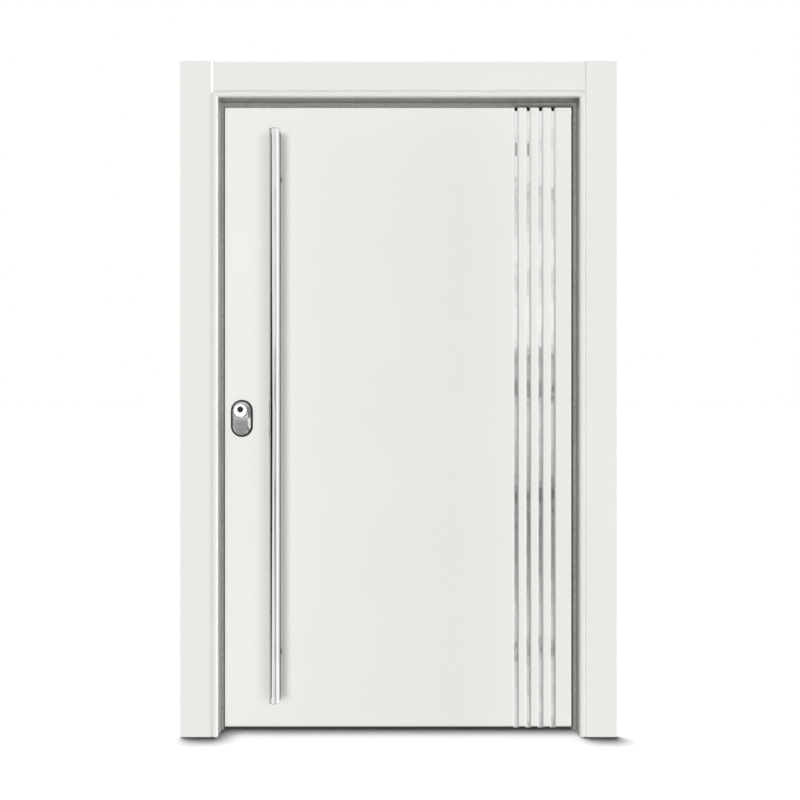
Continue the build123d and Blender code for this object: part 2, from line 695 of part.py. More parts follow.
def all_nodes():
    nodes = {
        "frame_jamb_lock": frame_jamb_lock(),
        "frame_jamb_pivot": frame_jamb_pivot(),
        "frame_head": frame_head(),
        "strike_plates": strike_plates(),
        "stop_lock": stop_lock(),
        "stop_head": stop_head(),
        "cover_bar_pivot": cover_bar_pivot(),
        "cover_bar_head": cover_bar_head(),
        "inner_stop_pivot": inner_stop_pivot(),
        "inner_stop_head": inner_stop_head(),
        "outer_gasket": outer_gasket(),
        "inner_gasket": inner_gasket(),
        "outer_casing_left": left_of(outer_casing_side()),
        "outer_casing_right": outer_casing_side(),
        "outer_casing_head": outer_casing_head(),
        "bead_left": left_of(bead_side()),
        "bead_right": bead_side(),
        "bead_head": bead_head(),
        "inner_lining_left": left_of(inner_lining_side()),
        "inner_lining_right": inner_lining_side(),
        "inner_lining_head": inner_lining_head(),
        "inner_casing_left": left_of(inner_casing_side()),
        "inner_casing_right": inner_casing_side(),
        "inner_casing_head": inner_casing_head(),
        "floor_strip": floor_strip(),
        "floor_pivot": floor_pivot(),
        "head_pivot": head_pivot(),
        "leaf_core": leaf_core(),
        "outer_panel": outer_panel(),
        "inner_panel": inner_panel(),
        "pull_bar": pull_bar(),
        "bar_end_caps": bar_end_caps(),
        "bar_posts": bar_posts(),
        "escutcheon_base": escutcheon_base(),
        "outer_escutcheon": outer_escutcheon(),
        "cylinder_guard": cylinder_guard(),
        "lock_cylinder": lock_cylinder(),
        "lock_faceplates": lock_faceplates(),
        "lock_bolts": lock_bolts(),
        "turn_rose": rose(PORT_Z),
        "thumb_turn": thumb_turn(),
        "lever_rose": rose(PORT_Z - LEVER_DROP),
        "lever_handle": lever_handle(),
        "drop_seal": drop_seal(),
        "pivot_shoes": pivot_shoes(),
    }
    for number, x in enumerate(strip_positions(), start=1):
        nodes[f"inlay_strip_{number}"] = inlay_strip(x)
    return nodes


os.makedirs("parts", exist_ok=True)
for name, shape in all_nodes().items():
    export_step(shape, f"parts/{name}.step")
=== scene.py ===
import math

import bmesh
import bpy
from mathutils import Matrix, Vector


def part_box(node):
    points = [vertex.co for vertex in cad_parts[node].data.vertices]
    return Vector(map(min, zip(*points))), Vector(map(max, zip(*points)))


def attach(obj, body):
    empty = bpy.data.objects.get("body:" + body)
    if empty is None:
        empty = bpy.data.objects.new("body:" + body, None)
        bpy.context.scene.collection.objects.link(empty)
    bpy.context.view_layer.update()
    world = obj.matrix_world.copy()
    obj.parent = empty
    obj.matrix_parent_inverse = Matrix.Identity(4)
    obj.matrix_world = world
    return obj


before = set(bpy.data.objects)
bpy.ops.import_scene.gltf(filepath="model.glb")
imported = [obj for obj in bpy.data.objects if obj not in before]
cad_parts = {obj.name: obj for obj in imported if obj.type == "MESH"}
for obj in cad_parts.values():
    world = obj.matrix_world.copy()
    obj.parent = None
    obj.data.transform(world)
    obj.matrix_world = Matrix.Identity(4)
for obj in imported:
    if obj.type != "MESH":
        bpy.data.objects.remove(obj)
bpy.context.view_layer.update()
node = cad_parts

# Camera: level, on the doorway's middle line at chest height, straight at the door.
CAMERA_PLACE = (0.0045, -3.645, 1.1155)
CAMERA_LENS = 47.853

# Lamps, each as (strength, azimuth, elevation, softness): a strength of 1 lights a
# surface that faces it fully, and azimuth 0 is the outer side of the door.
KEY = (0.51, -12.0, 2.5, 24.0)
FILL = (0.27, 26.0, 2.5, 34.0)
SIDE = (0.6, 83.0, 2.5, 12.0)
LEFT = (0.6, -100.0, 10.0, 14.0)
TOP = (0.8, 180.0, 88.4, 3.0)
BACK = (0.62, 168.0, 8.0, 14.0)
SKY_LEVEL = 0.06
GROUND_LEVEL = 0.3

# The floor is dim under a strong lamp of its own, so that it looks white and what the
# pale door throws onto it doesn't wash its shadow out.
FLOOR_LAMP = (6.0, -155.0, 88.2, 2.7)
FLOOR_TONE = 0.15
FLOOR_SIZE = 400.0
FLOOR_DROP = 0.0005

# The room that metal mirrors is white. It has a slatted screen ahead, a faint one left of
# that, a plain wing right of it, a dark one at the far left with a low band beside it, and
# one in each back corner. A zone gives the share of a screen by the turn from the front in
# degrees, and a shade gives its darkness by the rise, which is height over distance up from
# the mirror.
SCREEN_ZONE = ((-10, 0.0), (-2, 1.0), (13, 1.0), (23, 0.0))
SCREEN_SHADE = ((-0.3, 0.5), (-0.14, 1.0), (0.0, 0.8), (0.1, 0.4), (0.27, 0.4))
SLATS_PER_RISE = 40.0
SLAT_DEPTH = (-1.5, 2.1)
SLAT_GAPS = ((-0.24, 0.35), (-0.15, 0.75), (-0.03, 0.45), (0.06, 0.0))
LEFT_ZONE = ((-40, 0.0), (-30, 1.0), (-9, 1.0), (-2, 0.0))
LEFT_SHADE = ((-0.3, 0.15), (0.0, 0.18), (0.3, 0.32))
BACK_ZONE = ((120, 0.0), (134, 1.0), (150, 1.0), (164, 0.0))
BACK_SHADE = ((-0.3, 0.8), (0.0, 0.55), (0.3, 0.25))
WING_ZONE = ((12, 0.0), (18, 1.0), (34, 1.0), (38, 0.0))
WING_SHADE = ((-0.3, 0.55), (0.0, 0.55), (0.27, 0.28))
DARK_ZONE = ((-110, 0.0), (-88, 0.7), (-82, 1.0), (-60, 1.0), (-51, 0.0))
DARK_SHADE = ((-0.28, 0.5), (-0.08, 0.97), (0.25, 0.7))
SPILL_ZONE = ((-75, 0.0), (-58, 1.0), (-12, 0.0))
SPILL_SHADE = ((-0.15, 0.0), (-0.02, 0.85), (0.1, 0.0))

# Colours, linear
WHITE = (0.838, 0.831, 0.799)
# The beads' white is the casing's white made a little darker: painted shade that holds down the light their
# rounded faces catch.
BEAD_SHADED_WHITE = (0.815, 0.808, 0.779)
FRAME_GREY = (0.30, 0.298, 0.292)
CORE_WHITE = (0.78, 0.775, 0.75)
STEEL = (0.62, 0.615, 0.60)
BRIGHT_STEEL = (0.97, 0.97, 0.965)
BAR_STEEL = (0.95, 0.95, 0.94)
COVER_STEEL = (0.8, 0.8, 0.79)
BOLT_STEEL = (0.72, 0.72, 0.715)
CAP_STEEL = (0.66, 0.66, 0.65)
HANDLE_STEEL = (0.62, 0.618, 0.605)
ROSE_STEEL = (0.6, 0.598, 0.585)
DULL_STEEL = (0.5, 0.5, 0.49)
DARK_STEEL = (0.42, 0.42, 0.42)
RUBBER = (0.05, 0.05, 0.05)
BLACK = (0.014, 0.014, 0.015)
ALUMINIUM = (0.66, 0.665, 0.67)
BRUSH_GREY = (0.16, 0.158, 0.155)

# Directions of grain
ALONG_X, ALONG_Y, ALONG_Z = range(3)

# Groups of nodes; the last three are what shades a lamp
STRIPS = ["inlay_strip_%d" % number for number in range(1, 5)]
HARDWARE = (
    "pull_bar", "bar_end_caps", "bar_posts",
    "escutcheon_base", "outer_escutcheon", "cylinder_guard",
)
CASING_SIDES = ("outer_casing_left", "outer_casing_right", "bead_left", "bead_right")
STANDING = CASING_SIDES + (
    "leaf_core", "inner_panel", "frame_jamb_lock",
    "frame_jamb_pivot", "stop_lock", "cover_bar_pivot",
)

# Lock edge plates as (middle height, height), and the frame's wall anchors
EDGE_PLATES = ((0.45, 0.09), (1.053, 0.24), (1.65, 0.09))
ANCHOR_HEIGHTS = (0.25, 0.75, 1.35, 1.85)
JAMB_FACE = 0.6

# Screws: radius and inset from a plate's ends; the head's section in shares of its radius
STRIKE_SCREW = (0.0042, 0.008)
FACEPLATE_SCREW = (0.0038, 0.009)
PIVOT_SCREW = (0.004, 0.012)
FLOOR_SCREW_RADIUS = 0.004
FLOOR_SCREW_FIRST = -0.56
FLOOR_SCREW_PITCH = 0.225
FLOOR_SCREW_COUNT = 5
FLOOR_SCREW_LAST = 0.54
PIVOT_PLATE_THICK = 0.0025
SCREW_SECTION = (
    (0.9, -0.0008), (1.0, 0.0), (0.94, 0.0004),
    (0.5, 0.0004), (0.42, -0.0006), (0.0, -0.0007),
)
CAP_SECTION = ((0.0078, -0.0002), (0.0082, 0.0004), (0.0074, 0.0012), (0.0045, 0.0018), (0.0, 0.002))

# End stops over the strips, black as painted shade for the dark open ends of their grooves
STOP_SETBACK = 0.0012
STOP_THICK = 0.0035
STOP_CLEARANCE = 0.0005
STOP_HALF_HEAD = 0.0062
STOP_HALF_FOOT = 0.0042
STOP_CORNER_WIDTH = 0.001
STOP_CORNER_HEIGHT = 0.002

# Bristles of the brush seal
BRISTLE_PITCH = 0.0014
BRISTLE_HALF = 0.0005
BRISTLE_ROWS = (0.0022, 0.0036, 0.005)
BRISTLE_START = 0.0006
BRISTLE_END = 0.011
BRISTLE_SET_IN = 0.0004
BRISTLE_CLEARANCE = 0.0006
BRISTLE_STRAY = 0.0003

# Black lip in the gap on the pivot side, painted shade that darkens the gap: its faces by depth behind the
# lip's front
LIP_SETBACK = 0.0008
LIP_REACH = 0.0012
LIP_TIP_DEPTHS = (0.0008, 0.0022)
LIP_ROOT_DEPTH = 0.003
LIP_MARGIN = 0.01

# Ribs of the drop seal's fin, with the section of one
RIB_OFFSET = 0.0028
RIB_MARGIN = 0.004
RIB_SECTION = ((-0.0016, 0.0), (0.0016, 0.0), (0.0008, -0.003), (-0.0008, -0.003))


class Nodes:
    """Short calls for making nodes in a tree and joining them."""

    def __init__(self, tree):
        self.tree = tree

    def link(self, output, target):
        self.tree.links.new(output, target)

    def node(self, kind, **settings):
        made = self.tree.nodes.new(kind)
        for key, value in settings.items():
            setattr(made, key, value)
        return made

    def math(self, operation, *values):
        made = self.node("ShaderNodeMath", operation=operation)
        for index, value in enumerate(values):
            if isinstance(value, float):
                made.inputs[index].default_value = value
            else:
                self.link(value, made.inputs[index])
        return made.outputs["Value"]

    def span(self, value, low, high, from_low=0.3, from_high=0.7):
        made = self.node("ShaderNodeMapRange")
        made.inputs["From Min"].default_value = from_low
        made.inputs["From Max"].default_value = from_high
        made.inputs["To Min"].default_value = low
        made.inputs["To Max"].default_value = high
        self.link(value, made.inputs["Value"])
        return made.outputs["Result"]

    def steps(self, value, stops):
        """A grey level by a value, through (value, level) stops."""
        low, high = stops[0][0], stops[-1][0]
        ramp = self.node("ShaderNodeValToRGB")
        elements = ramp.color_ramp.elements
        while len(elements) < len(stops):
            elements.new(0.5)
        for element, (place, level) in zip(elements, stops):
            element.position = (place - low) / (high - low)
            element.color = (level, level, level, 1.0)
        self.link(self.span(value, 0.0, 1.0, low, high), ramp.inputs["Fac"])
        return ramp.outputs["Color"]

    def seen(self):
        """1 for camera, mirror and see-through rays, 0 for the rays that light things."""
        path = self.node("ShaderNodeLightPath")
        rays = [path.outputs["Is %s Ray" % kind] for kind in ("Camera", "Glossy", "Transmission")]
        return self.math("MAXIMUM", self.math("MAXIMUM", rays[0], rays[1]), rays[2])


class Shader(Nodes):
    """A material on one principled shader."""

    def __init__(self, name, colour, roughness, metallic=0.0):
        self.material = bpy.data.materials.new(name)
        self.material.use_nodes = True
        super().__init__(self.material.node_tree)
        self.shader = self.tree.nodes["Principled BSDF"]
        self.set("Base Color", (*colour, 1.0))
        self.set("Roughness", roughness)
        self.set("Metallic", metallic)
        self.colour = colour

    def set(self, socket, value):
        self.shader.inputs[socket].default_value = value

    def place(self, scale=(1.0, 1.0, 1.0), shift=(0.0, 0.0, 0.0)):
        """The object's own coordinates in metres, stretched and shifted."""
        source = self.node("ShaderNodeTexCoord")
        stretch = self.node("ShaderNodeMapping")
        stretch.inputs["Location"].default_value = shift
        stretch.inputs["Scale"].default_value = scale
        self.link(source.outputs["Object"], stretch.inputs["Vector"])
        return stretch.outputs["Vector"]

    def noise(self, scale, stretch=(1.0, 1.0, 1.0), detail=3.0, rough=0.5, shift=(0.0, 0.0, 0.0)):
        made = self.node("ShaderNodeTexNoise")
        made.inputs["Scale"].default_value = scale
        made.inputs["Detail"].default_value = detail
        made.inputs["Roughness"].default_value = rough
        self.link(self.place(stretch, shift), made.inputs["Vector"])
        return made.outputs["Fac"]

    def mixed(self, first, second, share):
        """Two values added, the first by its share and the second by the rest."""
        rest = self.math("MULTIPLY", second, 1.0 - share)
        return self.math("ADD", self.math("MULTIPLY", first, share), rest)

    def tint(self, value, dark, light):
        """Colour between two shades of the base colour, by a value from 0 to 1."""
        ramp = self.node("ShaderNodeValToRGB")
        for element, shade in zip(ramp.color_ramp.elements, (dark, light)):
            element.color = (*[channel * shade for channel in self.colour], 1.0)
        self.link(value, ramp.inputs["Fac"])
        self.link(ramp.outputs["Color"], self.shader.inputs["Base Color"])

    def roughen(self, value, low, high):
        self.link(self.span(value, low, high), self.shader.inputs["Roughness"])

    def bump(self, height, strength, distance):
        made = self.node("ShaderNodeBump")
        made.inputs["Strength"].default_value = strength
        made.inputs["Distance"].default_value = distance
        self.link(height, made.inputs["Height"])
        self.link(made.outputs["Normal"], self.shader.inputs["Normal"])


def along(axis, slow, fast):
    """Stretch for grain that runs along an axis."""
    return tuple(slow if index == axis else fast for index in range(3))


def lacquer(name, colour, sheen_low, sheen_high):
    """Sprayed satin lacquer: fine orange peel, faint clouds in tone and gloss."""
    made = Shader(name, colour, sheen_low)
    made.tint(made.span(made.noise(2.6, detail=2.0), 0.0, 1.0), 0.99, 1.004)
    made.roughen(made.noise(38.0, detail=4.0), sheen_low, sheen_high)
    peel = made.mixed(made.noise(330.0, detail=1.0), made.noise(1500.0, detail=2.0), 0.75)
    made.bump(peel, 0.05, 0.0005)
    made.set("Specular IOR Level", 0.2)
    return made.material


def frame_paint(name, axis):
    """Grey hammered metallic paint, its mottle drawn out along the profile."""
    made = Shader(name, FRAME_GREY, 0.42, 0.25)
    mottle = made.noise(150.0, along(axis, 0.45, 1.0), detail=3.0, rough=0.62)
    streak = made.noise(46.0, along(axis, 0.12, 1.6), detail=3.0)
    made.tint(made.span(made.mixed(mottle, streak, 0.6), 0.0, 1.0, 0.36, 0.64), 0.76, 1.22)
    made.roughen(mottle, 0.34, 0.5)
    made.bump(mottle, 0.22, 0.0012)
    return made.material


def brushed(name, colour, roughness, axis, depth=0.1, contrast=0.06):
    """Brushed metal: fine hairlines along an axis and slow clouds of handling marks."""
    made = Shader(name, colour, roughness, 1.0)
    hair = made.noise(1100.0, along(axis, 0.012, 1.0), detail=4.0, rough=0.7)
    cloud = made.noise(24.0, along(axis, 0.4, 1.0), detail=3.0)
    marks = made.mixed(hair, cloud, 0.7)
    made.tint(made.span(marks, 0.0, 1.0), 1.0 - contrast, 1.0 + contrast)
    made.roughen(marks, roughness * 0.8, roughness * 1.25)
    made.bump(hair, depth, 0.0003)
    return made.material


def polished_strip(name, seed):
    """Mirror-polished strip with the slow ripple of a bonded metal band."""
    made = Shader(name, BRIGHT_STEEL, 0.07, 1.0)
    ripple = made.noise(26.0, (1.0, 1.0, 0.35), detail=2.0, shift=(0.0, 0.0, seed * 1.7))
    hair = made.noise(900.0, along(ALONG_Z, 0.01, 1.0), detail=3.0)
    made.tint(made.span(hair, 0.0, 1.0), 0.95, 1.03)
    made.roughen(hair, 0.05, 0.1)
    made.bump(made.mixed(ripple, hair, 0.97), 0.3, 0.002)
    return made.material


def satin_cover(name):
    """Satin cast metal, smooth at its head; towards its foot its colour is speckled lighter and darker,
    painted glints and flecks of shade standing in for the sparkle of its satin reflections there.
    """
    made = Shader(name, COVER_STEEL, 0.2, 1.0)
    speckle = made.noise(420.0, detail=4.0, rough=0.7)
    marks = made.mixed(speckle, made.noise(70.0, detail=3.0), 0.5)
    split = made.node("ShaderNodeSeparateXYZ")
    made.link(made.place(), split.inputs["Vector"])
    foot = made.span(split.outputs["Z"], 1.0, 0.0, 0.99, 1.06)
    # Painted glints and shade: the speckle's lighter and darker flecks grow towards the cover's foot.
    glint_speckle = made.math("MULTIPLY", made.span(marks, -1.0, 1.0, 0.38, 0.62), foot)
    made.tint(made.span(glint_speckle, 0.0, 1.0, -1.0, 1.0), 0.72, 1.16)
    made.roughen(speckle, 0.16, 0.3)
    made.bump(speckle, 0.12, 0.0005)
    return made.material


def rubber(name):
    """Extruded grey-black seal: fine grain and dusty matt patches."""
    made = Shader(name, RUBBER, 0.7)
    dust = made.noise(55.0, detail=4.0)
    made.tint(made.span(dust, 0.0, 1.0), 0.75, 1.5)
    made.roughen(dust, 0.6, 0.82)
    made.bump(made.noise(700.0, detail=2.0), 0.12, 0.0004)
    made.set("Specular IOR Level", 0.3)
    return made.material


def moulded_black(name, colour=BLACK):
    """Satin moulding with a fine spark-eroded grain."""
    made = Shader(name, colour, 0.45)
    grain = made.noise(1300.0, detail=3.0)
    made.tint(made.span(grain, 0.0, 1.0), 0.8, 1.4)
    made.roughen(made.noise(60.0), 0.38, 0.52)
    made.bump(grain, 0.2, 0.0003)
    made.set("Specular IOR Level", 0.4)
    return made.material


def dress(names, material):
    """Gives a CAD node, or several, one material."""
    for name in names:
        slots = node[name].material_slots
        if not slots:
            node[name].data.materials.append(material)
        for each in slots:
            each.material = material


def dress_frame_body():
    upright = frame_paint("frame_paint_upright", ALONG_Z)
    level = frame_paint("frame_paint_level", ALONG_X)
    dress(("frame_jamb_lock", "frame_jamb_pivot", "stop_lock", "cover_bar_pivot"), upright)
    dress(("inner_stop_pivot",), upright)
    dress(("frame_head", "stop_head", "cover_bar_head", "inner_stop_head"), level)
    boards = lacquer("casing_lacquer", WHITE, 0.34, 0.44)
    dress([name for name in node if "casing" in name or "lining" in name], boards)
    # The beads take that darker white, painted shade on their rounded faces.
    dress(("bead_left", "bead_right", "bead_head"), lacquer("bead_lacquer_shaded", BEAD_SHADED_WHITE, 0.28, 0.36))
    dress(("outer_gasket", "inner_gasket"), rubber("seal_rubber"))
    dress(("strike_plates",), brushed("strike_steel", STEEL, 0.3, ALONG_Z))
    dress(("floor_strip",), brushed("floor_strip_steel", DULL_STEEL, 0.34, ALONG_X))
    dress(("floor_pivot", "head_pivot"), brushed("pivot_steel", DARK_STEEL, 0.36, ALONG_X))


def dress_leaf_body():
    dress(("outer_panel", "inner_panel"), lacquer("panel_lacquer", WHITE, 0.36, 0.46))
    dress(("leaf_core",), lacquer("core_powder_coat", CORE_WHITE, 0.42, 0.55))
    for number, name in enumerate(STRIPS):
        dress((name,), polished_strip("strip_mirror_%d" % (number + 1), number))
    dress(("pull_bar",), brushed("bar_steel", BAR_STEEL, 0.07, ALONG_Z, depth=0.04))
    dress(("bar_end_caps",), brushed("bar_cap_steel", CAP_STEEL, 0.24, ALONG_X))
    dress(("bar_posts",), brushed("post_steel", DULL_STEEL, 0.26, ALONG_Y))
    dress(("escutcheon_base",), moulded_black("base_moulding"))
    dress(("outer_escutcheon",), satin_cover("cover_satin"))
    guard = brushed("guard_bright", BRIGHT_STEEL, 0.16, ALONG_X, depth=0.05, contrast=0.03)
    dress(("cylinder_guard",), guard)
    dress(("lock_cylinder",), moulded_black("cylinder_black"))
    dress(("lock_faceplates",), brushed("faceplate_steel", STEEL, 0.3, ALONG_Z))
    dress(("lock_bolts",), brushed("bolt_steel", BOLT_STEEL, 0.2, ALONG_X))
    dress(("turn_rose", "lever_rose"), brushed("rose_steel", ROSE_STEEL, 0.28, ALONG_X))
    dress(("thumb_turn",), brushed("turn_steel", HANDLE_STEEL, 0.26, ALONG_Z))
    dress(("lever_handle",), brushed("lever_steel", HANDLE_STEEL, 0.24, ALONG_X))
    dress(("drop_seal",), brushed("seal_aluminium", ALUMINIUM, 0.34, ALONG_X))
    dress(("pivot_shoes",), brushed("shoe_steel", DARK_STEEL, 0.36, ALONG_X))


def piece(name, shape, material, body):
    """A finished object from a bmesh, riding on a body."""
    mesh = bpy.data.meshes.new(name)
    bmesh.ops.recalc_face_normals(shape, faces=shape.faces)
    shape.to_mesh(mesh)
    shape.free()
    made = bpy.data.objects.new(name, mesh)
    bpy.context.collection.objects.link(made)
    mesh.materials.append(material)
    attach(made, body)
    return made


def add_prism(shape, corners, low, high, spread):
    """Adds a closed prism; spread places a corner at a level as a point in space."""
    rings = [[shape.verts.new(spread(corner, level)) for corner in corners] for level in (low, high)]
    shape.faces.new(rings[0])
    shape.faces.new(rings[1])
    for index in range(len(corners)):
        following = (index + 1) % len(corners)
        shape.faces.new((rings[0][index], rings[0][following], rings[1][following], rings[1][index]))


def add_turned(shape, profile, place, toward, segments=20):
    """Adds a closed turned form: (radius, height) points from its back rim to its middle."""
    turn = Vector(toward).to_track_quat("Z", "Y").to_matrix().to_4x4()
    put = Matrix.Translation(place) @ turn
    rings = []
    for radius, height in profile:
        if radius:
            angles = [2 * math.pi * step / segments for step in range(segments)]
            rim = [(radius * math.cos(angle), radius * math.sin(angle)) for angle in angles]
            points = [Vector((*spot, height)) for spot in rim]
        else:
            points = [Vector((0.0, 0.0, height))]
        rings.append([shape.verts.new(put @ point) for point in points])
    shape.faces.new(rings[0])
    for near, far in zip(rings, rings[1:]):
        for index in range(segments):
            following = (index + 1) % segments
            if len(far) == 1:
                shape.faces.new((near[index], near[following], far[0]))
            else:
                shape.faces.new((near[index], near[following], far[following], far[index]))


def screws(name, places, toward, radius, body):
    """Countersunk socket-head screws, their rims just proud of the metal around them."""
    profile = [(radius * share, height) for share, height in SCREW_SECTION]
    shape = bmesh.new()
    for place in places:
        add_turned(shape, profile, place, toward)
    return piece(name, shape, brushed(name + "_steel", DULL_STEEL, 0.3, ALONG_X), body)


def edge_plate_places(x, low, high, inset):
    """A screw near each end of every upright plate between the low and the high corner."""
    middle = (low[1] + high[1]) / 2
    return [(x, middle, z + side * (height / 2 - inset)) for z, height in EDGE_PLATES for side in (-1, 1)]


def make_screws():
    low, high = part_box("strike_plates")
    radius, inset = STRIKE_SCREW
    places = edge_plate_places(high[0], low, high, inset)
    screws("strike_screws", places, (1, 0, 0), radius, "frame")
    low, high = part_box("lock_faceplates")
    radius, inset = FACEPLATE_SCREW
    places = edge_plate_places(low[0], low, high, inset)
    screws("faceplate_screws", places, (-1, 0, 0), radius, "leaf")
    low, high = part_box("floor_strip")
    middle = (low[1] + high[1]) / 2
    across = [FLOOR_SCREW_FIRST + FLOOR_SCREW_PITCH * step for step in range(FLOOR_SCREW_COUNT)]
    places = [(x, middle, high[2]) for x in across + [FLOOR_SCREW_LAST]]
    screws("floor_strip_screws", places, (0, 0, 1), FLOOR_SCREW_RADIUS, "frame")
    low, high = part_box("head_pivot")
    radius, inset = PIVOT_SCREW
    plate_foot = high[2] - PIVOT_PLATE_THICK
    places = [(x, 0.0, plate_foot) for x in (low[0] + inset, high[0] - inset)]
    screws("head_pivot_screws", places, (0, 0, -1), radius, "frame")


def make_anchor_caps():
    """Low domed caps over the frame's wall anchors, seen when the leaf stands open."""
    shape = bmesh.new()
    for side in (-1, 1):
        for z in ANCHOR_HEIGHTS:
            add_turned(shape, CAP_SECTION, (side * JAMB_FACE, 0.0, z), (-side, 0, 0), segments=28)
    return piece("anchor_caps", shape, moulded_black("cap_moulding", FRAME_GREY), "frame")


def make_strip_shade_stops():
    """Tapered end stops in the grooves over the strips, black as painted shade for the dark open ends of
    the grooves.
    """
    shape = bmesh.new()
    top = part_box("outer_panel")[1][2]
    for name in STRIPS:
        low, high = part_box(name)
        middle = (low[0] + high[0]) / 2
        face = low[1] + STOP_SETBACK
        foot = high[2] + STOP_CLEARANCE
        shoulder = top - STOP_CORNER_HEIGHT
        corners = (
            (middle - STOP_HALF_FOOT, foot),
            (middle + STOP_HALF_FOOT, foot),
            (middle + STOP_HALF_HEAD, shoulder),
            (middle + STOP_HALF_HEAD - STOP_CORNER_WIDTH, top),
            (middle - STOP_HALF_HEAD + STOP_CORNER_WIDTH, top),
            (middle - STOP_HALF_HEAD, shoulder),
        )
        back = face + STOP_THICK
        add_prism(shape, corners, face, back, lambda corner, level: (corner[0], level, corner[1]))
    return piece("strip_end_shade_stops", shape, moulded_black("stop_shade_black"), "leaf")


def make_brush_seal():
    """Pile brush under the cover bar at the head, which just clears the leaf's short end."""
    low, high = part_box("cover_bar_head")
    leaf_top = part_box("outer_panel")[1][2]
    half = BRISTLE_HALF
    corners = ((-half, -half), (half, -half), (half, half), (-half, half))
    root = low[2] + BRISTLE_SET_IN
    count = int((high[0] - BRISTLE_END - low[0]) / BRISTLE_PITCH)
    shape = bmesh.new()
    for row, depth in enumerate(BRISTLE_ROWS):
        y = low[1] + depth
        for index in range(count):
            x = low[0] + BRISTLE_START + BRISTLE_PITCH * (index + 0.5 * (row % 2))
            lean = BRISTLE_STRAY * math.sin(index * 1.9 + row)
            tip = leaf_top + BRISTLE_CLEARANCE + BRISTLE_STRAY * math.sin(index * 2.7)

            def spread(corner, level, x=x, y=y, lean=lean):
                shift = lean if level < root else 0.0
                return (x + corner[0] + shift, y + corner[1] + shift, level)

            add_prism(shape, corners, tip, root, spread)
    return piece("brush_seal", shape, moulded_black("brush_pile", BRUSH_GREY), "frame")


def make_pivot_gap_shade_lip():
    """Lip on the cover bar beside the leaf's short end, clear of its swing, black as painted shade that
    darkens the gap there.
    """
    bar_low, bar_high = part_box("cover_bar_pivot")
    root = bar_low[0]
    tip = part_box("outer_panel")[1][0] + LIP_REACH
    front = bar_low[1] + LIP_SETBACK
    corners = [(root, front)] + [(tip, front + depth) for depth in LIP_TIP_DEPTHS]
    corners.append((root, front + LIP_ROOT_DEPTH))
    head = bar_high[2] - LIP_MARGIN
    shape = bmesh.new()
    add_prism(shape, corners, LIP_MARGIN, head, lambda corner, level: (*corner, level))
    return piece("pivot_gap_shade_lip", shape, moulded_black("gap_shade_black"), "frame")


def make_drop_seal_fin():
    """Rubber fin of the drop seal, its two ribs just under the leaf's foot."""
    low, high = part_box("drop_seal")
    middle = (low[1] + high[1]) / 2
    foot = low[2]
    shape = bmesh.new()
    for centre in (middle - RIB_OFFSET, middle + RIB_OFFSET):
        add_prism(
            shape, RIB_SECTION, low[0] + RIB_MARGIN, high[0] - RIB_MARGIN,
            lambda corner, level, centre=centre: (level, centre + corner[0], foot + corner[1]),
        )
    return piece("drop_seal_fin", shape, rubber("fin_rubber"), "leaf")


def make_camera():
    data = bpy.data.cameras.new("camera")
    data.lens = CAMERA_LENS
    made = bpy.data.objects.new("camera", data)
    made.location = CAMERA_PLACE
    made.rotation_euler = (math.radians(90), 0, 0)
    bpy.context.collection.objects.link(made)
    bpy.context.scene.camera = made


def group(name, members):
    made = bpy.data.collections.new(name)
    for each in members:
        made.objects.link(each)
    return made


def sun(name, lamp, blockers=None, receivers=None):
    """A distant lamp, given by its side; only blockers shade it, and it lights only receivers."""
    strength, azimuth, elevation, softness = lamp
    data = bpy.data.lights.new(name, "SUN")
    data.energy = strength * math.pi
    data.angle = math.radians(softness)
    made = bpy.data.objects.new(name, data)
    turn, rise = math.radians(azimuth), math.radians(elevation)
    from_side = Vector((math.sin(turn) * math.cos(rise), -math.cos(turn) * math.cos(rise), math.sin(rise)))
    made.rotation_euler = from_side.to_track_quat("Z", "Y").to_euler()
    made.visible_glossy = False
    bpy.context.collection.objects.link(made)
    if blockers:
        made.light_linking.blocker_collection = group(name + "_blockers", [node[each] for each in blockers])
    if receivers:
        made.light_linking.receiver_collection = group(name + "_receivers", receivers)


def make_lamps(floor):
    """Even light on the door from all sides, and a lamp that reaches only the floor."""
    sun("key", KEY, HARDWARE)
    sun("fill", FILL, HARDWARE)
    sun("side", SIDE, CASING_SIDES)
    sun("left", LEFT)
    sun("top", TOP)
    sun("back", BACK)
    sun("floor_lamp", FLOOR_LAMP, STANDING, [floor])


def slatted_screen(nodes, turn, rise):
    """Darkness of the screen ahead: a broad shade, broken up by uneven level slats."""
    slats = nodes.node("ShaderNodeTexNoise", noise_dimensions="1D")
    slats.inputs["Scale"].default_value = SLATS_PER_RISE
    slats.inputs["Detail"].default_value = 2.0
    nodes.link(rise, slats.inputs["W"])
    uneven = nodes.span(slats.outputs["Fac"], *SLAT_DEPTH)
    depth = nodes.math("MAXIMUM", uneven, nodes.steps(rise, SLAT_GAPS))
    shade = nodes.math("MULTIPLY", nodes.steps(rise, SCREEN_SHADE), depth)
    return nodes.math("MINIMUM", nodes.math("MULTIPLY", nodes.steps(turn, SCREEN_ZONE), shade), 1.0)


